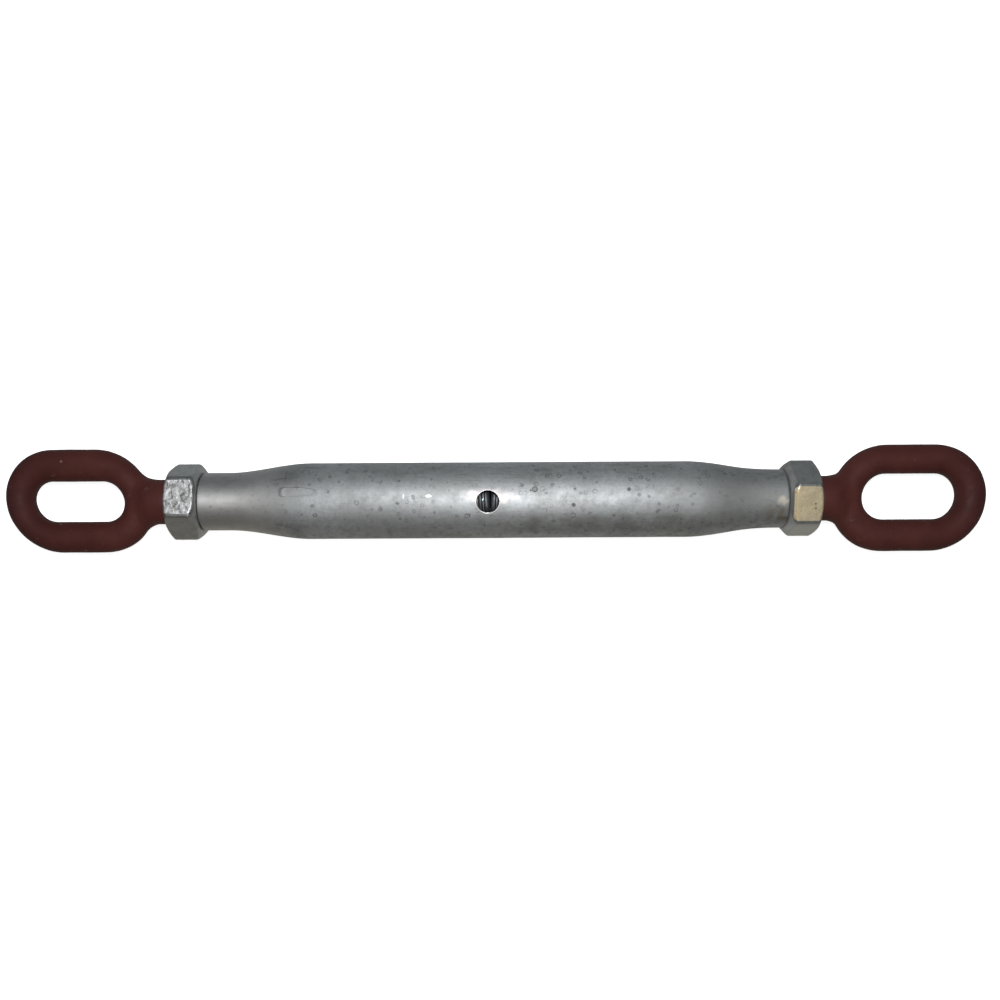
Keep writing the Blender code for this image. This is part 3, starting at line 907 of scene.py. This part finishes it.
def make_nuts():
    mounts = {mount["name"]: mount for mount in frame["record"]["mounts"]}
    for side, chamfers, height, seed, finish in (
            ("left", LEFT_NUT_CHAMFERS, 0.10 * MM, 3.0, left_nut_material),
            ("right", RIGHT_NUT_CHAMFERS, 0.05 * MM, 8.0, right_nut_material)):
        low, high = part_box(side + "_lock_nut")
        flat = mounts[side + "_nut_flat"]["axis"]
        turn = math.atan2(flat[1], flat[2])
        mesh = nut_mesh(side + "_nut", low.x, high.x, turn, *chamfers, height, seed)
        mesh.materials.append(finish(flat, (low.x + high.x) / 2.0))
        piece = new_object(side + "_nut", mesh)
        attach(piece, side + "_nut")
        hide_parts(side + "_lock_nut")


# ---- eyes ---------------------------------------------------------------------------------


def ring_route(half_length, half_width):
    """Points and outward directions round the centreline of a ring with two half-circle ends."""
    half_straight = half_length - half_width
    straight, bend = 2.0 * half_straight, math.pi * half_width
    walked = np.arange(RING_STEPS) * 2.0 * (straight + bend) / RING_STEPS
    out, back = np.clip(walked, 0.0, straight), np.clip(walked - straight - bend, 0.0, straight)
    turned = np.clip(walked - straight, 0.0, bend) + np.clip(walked - 2.0 * straight - bend, 0.0, bend)
    angle = turned / half_width - math.pi / 2.0
    outward = np.stack([np.cos(angle), np.sin(angle)], axis=-1)
    points = half_width * outward
    points[:, 0] += out - back - half_straight
    return points, outward


def ring_part(side, low, high, slant, far_thinning, near_thinning, upper_thickening, lower_thickening):
    """The ring as one bent round bar."""
    centre = (low + high) / 2.0
    route, outward = ring_route((high.x - low.x) / 2.0 - BAR_RADIUS, (high.y - low.y) / 2.0 - BAR_RADIUS)
    verts = []
    for (x, y), (out_x, out_y) in zip(route, outward):
        thinned = 1.0 - far_thinning * max(side * out_x, 0.0) - near_thinning * max(-side * out_x, 0.0)
        thickened = 1.0 + upper_thickening * max(out_y, 0.0) + lower_thickening * max(-out_y, 0.0)
        for j in range(RING_SIDES):
            angle = 2.0 * math.pi * j / RING_SIDES
            out = BAR_RADIUS * math.cos(angle) * thinned
            if out < 0.0:
                out *= thickened
            across = y + out * out_y
            along = centre.x + x + out * out_x + side * slant * across
            verts.append((along, across, BAR_RADIUS * math.sin(angle)))
    return verts, tube_faces(RING_STEPS, RING_SIDES, closed=True)


def neck_part(side, start, ring_near):
    """The round neck from the nut to the ring, then oval sections that sink into the bar."""
    ridge = start + side * 2.2 * MM
    sections = [
        (start, NECK_RADIUS - 0.4 * MM, NECK_RADIUS - 0.4 * MM),
        (start + side * 0.4 * MM, NECK_RADIUS - 0.05 * MM, NECK_RADIUS - 0.05 * MM),
        (ridge - side * 0.6 * MM, NECK_RADIUS - 0.05 * MM, NECK_RADIUS - 0.05 * MM),
        (ridge, NECK_RADIUS + 0.2 * MM, NECK_RADIUS + 0.2 * MM),
        (ridge + side * 0.6 * MM, NECK_RADIUS, NECK_RADIUS),
    ]
    sections += [(ring_near + side * o * MM, w * MM, h * MM) for o, w, h in NECK_SECTIONS]
    verts = []
    for x, half_width, half_height in sections:
        for j in range(NECK_SIDES):
            angle = 2.0 * math.pi * j / NECK_SIDES
            verts.append((x, half_width * math.sin(angle), half_height * math.cos(angle)))
    faces = tube_faces(len(sections), NECK_SIDES, closed=False)
    faces.append(tuple(range(NECK_SIDES)))
    faces.append(tuple(range(len(verts) - NECK_SIDES, len(verts))))
    return verts, faces


def eye_mesh(name, side, low, high, nut_face, slant, far_gap, lift, **bar_shape):
    """Ring and neck fused into one skin, as if forged."""
    ring_near = high.x if side < 0.0 else low.x
    start = nut_face + side * GAP_AT_NUT
    ring_verts, ring_faces = ring_part(side, low, high, slant, **bar_shape)
    neck_verts, neck_faces = neck_part(side, start, ring_near)
    # the last of the neck leans with the ring
    neck_points = np.array(neck_verts)
    lean = smooth_step(side * (neck_points[:, 0] - ring_near), -3.0 * MM, 2.0 * MM)
    neck_points[:, 0] += side * slant * neck_points[:, 1] * lean
    neck_verts = [tuple(point) for point in neck_points.tolist()]
    shift = len(ring_verts)
    faces = ring_faces + [tuple(i + shift for i in face) for face in neck_faces]
    rough = new_object(name, mesh_from(name, ring_verts + neck_verts, faces))
    fuse = rough.modifiers.new("Fuse", "REMESH")
    fuse.mode = "VOXEL"
    fuse.voxel_size = EYE_VOXEL
    soften = rough.modifiers.new("Soften", "SMOOTH")
    soften.factor = 0.5
    soften.iterations = EYE_SOFTENING_PASSES
    mesh = modified_mesh(rough)
    points = vertex_array(mesh)
    # back to the ring's own size after the softening, then slight forging lumps
    far = low.x + far_gap if side < 0.0 else high.x - far_gap
    reach = points[:, 0].min() if side < 0.0 else points[:, 0].max()
    points[:, 0] = start + (points[:, 0] - start) * (far - start) / (reach - start)
    points[:, 1] *= high.y / np.abs(points[:, 1]).max()
    points[:, 1] += lift * smooth_step(side * (points[:, 0] - ring_near), 0.0, 16.0 * MM)
    normals = np.empty(len(mesh.vertices) * 3)
    set_vertices(mesh, points)
    mesh.vertex_normals.foreach_get("vector", normals)
    height = 0.7 * lumps(points, 8.0 * MM, 2.0) + 0.3 * lumps(points, 2.5 * MM, 7.0)
    points += normals.reshape(-1, 3) * (EYE_LUMPINESS * (height - 0.75))[:, None]
    set_vertices(mesh, points)
    shade(mesh, 60.0)
    return mesh


def primer_material():
    """Red-oxide primer brushed over steel: satin, uneven, with a few scuffs and spots of dust, and painted
    shade at the far ends.
    """
    m = Material("red_oxide_primer", metallic=0.0, roughness=0.5)
    cloud = m.noise(12.0 * MM, 4.0, 0.6)
    fine = m.noise(0.8 * MM, 3.0, 0.6)
    brush = m.noise(2.5 * MM, 3.0, 0.6)
    colour = m.blend(m.mapped(cloud, 0.3, 0.7), (0.069, 0.0190, 0.0165, 1.0), (0.088, 0.0250, 0.0210, 1.0))
    colour = m.paint(colour, (0.052, 0.016, 0.014, 1.0), m.mapped(fine, 0.5, 0.8), 0.3)
    # the far ends of both eyes are painted darker: painted shade
    outer = m.mapped(m.maths("ABSOLUTE", m.x), 185.0 * MM, 215.0 * MM)
    colour = m.paint(colour, (0.048, 0.0150, 0.0160, 1.0), outer, 0.5)
    scuff = m.times(m.mapped(m.noise(7.0 * MM, 2.0), 0.62, 0.72), m.mapped(brush, 0.5, 0.7))
    colour = m.paint(colour, (0.17, 0.12, 0.11, 1.0), scuff, 0.4)
    distance, own = m.cells(9.0 * MM)
    chip = m.times(m.mapped(distance, 0.08, 0.05), m.mapped(own[0], 0.72, 0.76))
    colour = m.paint(colour, (0.24, 0.18, 0.15, 1.0), chip, 0.6)
    m.give(Base_Color=colour, Roughness=m.mapped(brush, 0.3, 0.7, 0.50, 0.66), Specular_IOR_Level=0.14)
    m.bump(m.plus(m.times(brush, 0.6), m.times(fine, 0.3)), 0.10 * MM, 0.5)
    return m.data


def make_eyes():
    finish = primer_material()
    for side, name in ((-1.0, "left"), (1.0, "right")):
        low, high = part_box(name + "_eye_ring")
        nut_low, nut_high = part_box(name + "_lock_nut")
        nut_face = nut_low.x if side < 0.0 else nut_high.x
        shape = LEFT_EYE_SHAPE if side < 0.0 else RIGHT_EYE_SHAPE
        mesh = eye_mesh(name + "_eye", side, low, high, nut_face, **shape)
        mesh.materials.append(finish)
        piece = new_object(name + "_eye", mesh)
        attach(piece, name + "_eye")
        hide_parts(name + "_eye_ring", name + "_weld")


# ---- floor, light and camera --------------------------------------------------------------


def floor_material():
    """Pale, with a painted shadow in a short slot under the cross hole, where one looks down between the
    screws.
    """
    m = Material("pale_floor", metallic=0.0, roughness=0.9)
    from_hole = m.length(m.times(m.minus(m.x, cross_hole()[0]), FLOOR_SLOT_NARROWING), m.y)
    clear = m.mapped(from_hole, FLOOR_SLOT_RADIUS, FLOOR_SLOT_RADIUS + 2.0 * MM)
    m.give(Base_Color=m.scaled(clear, 0.89, 0.01), Emission_Color=grey(1.0))
    m.give(Emission_Strength=m.times(clear, 0.85))
    return m.data


def make_floor():
    mesh = bpy.data.meshes.new("floor")
    z = PIPE_LOW.z
    corners = [(x * FLOOR_HALF, y * FLOOR_HALF, z) for x, y in ((-1, -1), (1, -1), (1, 1), (-1, 1))]
    mesh.from_pydata(corners, [], [(0, 1, 2, 3)])
    mesh.materials.append(floor_material())
    floor = new_object("floor", mesh)
    # the bench under the object was dull, so the metal doesn't mirror this pale floor
    floor.visible_glossy = False
    floor.visible_diffuse = False


def make_world():
    """A dim room seen in the metal, darkest at the horizon. The camera sees pale grey instead."""
    world = bpy.data.worlds.new("studio")
    bpy.context.scene.world = world
    world.use_nodes = True
    n = Nodes(world.node_tree)
    direction = n.add("ShaderNodeTexCoord").outputs["Generated"]
    y, z = n.add("ShaderNodeSeparateXYZ", direction).outputs[1:3]
    tone = n.ramp(n.scaled(z, 0.5, 0.5), ROOM_TONES)
    # the tint changes from -0.8 to 0.8 of the way to either side
    tint = n.ramp(n.scaled(y, 0.5 / 0.8, 0.5), ROOM_TINTS)
    room = world.node_tree.nodes["Background"]
    n.feed(room.inputs["Color"], n.blend(1.0, tone, tint, mode="MULTIPLY"))
    pale = n.add("ShaderNodeBackground", grey(0.95))
    seen_by_camera = n.add("ShaderNodeLightPath").outputs["Is Camera Ray"]
    mix = n.add("ShaderNodeMixShader", seen_by_camera, room.outputs[0], pale.outputs[0])
    n.feed(world.node_tree.nodes["World Output"].inputs["Surface"], mix.outputs[0])


def area_light(name, place, size, power, colour):
    light = bpy.data.lights.new(name, "AREA")
    light.shape = "RECTANGLE"
    light.size, light.size_y = size
    light.energy = power
    light.color = colour
    lamp = new_object(name, light)
    lamp.location = place
    lamp.rotation_euler = (-Vector(place)).to_track_quat("-Z", "Y").to_euler()
    lamp.visible_camera = False


def make_lights():
    area_light("flash", (0.004, 0.045, 0.42), (0.05, 0.03), 1.28, (0.98, 0.99, 1.0))
    area_light("soft_box", (0.0, 0.25, 0.9), (0.9, 0.9), 0.8, (0.96, 0.99, 1.0))


def make_camera():
    data = bpy.data.cameras.new("camera")
    data.sensor_width = SENSOR_WIDTH
    data.lens = CAMERA_HEIGHT * SENSOR_WIDTH / VIEW_WIDTH
    data.clip_start = 0.01
    data.clip_end = 100.0
    camera = new_object("camera", data)
    camera.location = (CAMERA_X, 0.0, CAMERA_HEIGHT)
    camera.rotation_euler = (0.0, 0.0, CAMERA_ROLL)
    bpy.context.scene.camera = camera


make_pipe()
make_screws()
make_nuts()
make_eyes()
make_floor()
make_world()
make_lights()
make_camera()
bpy.context.scene.view_settings.view_transform = "Standard"
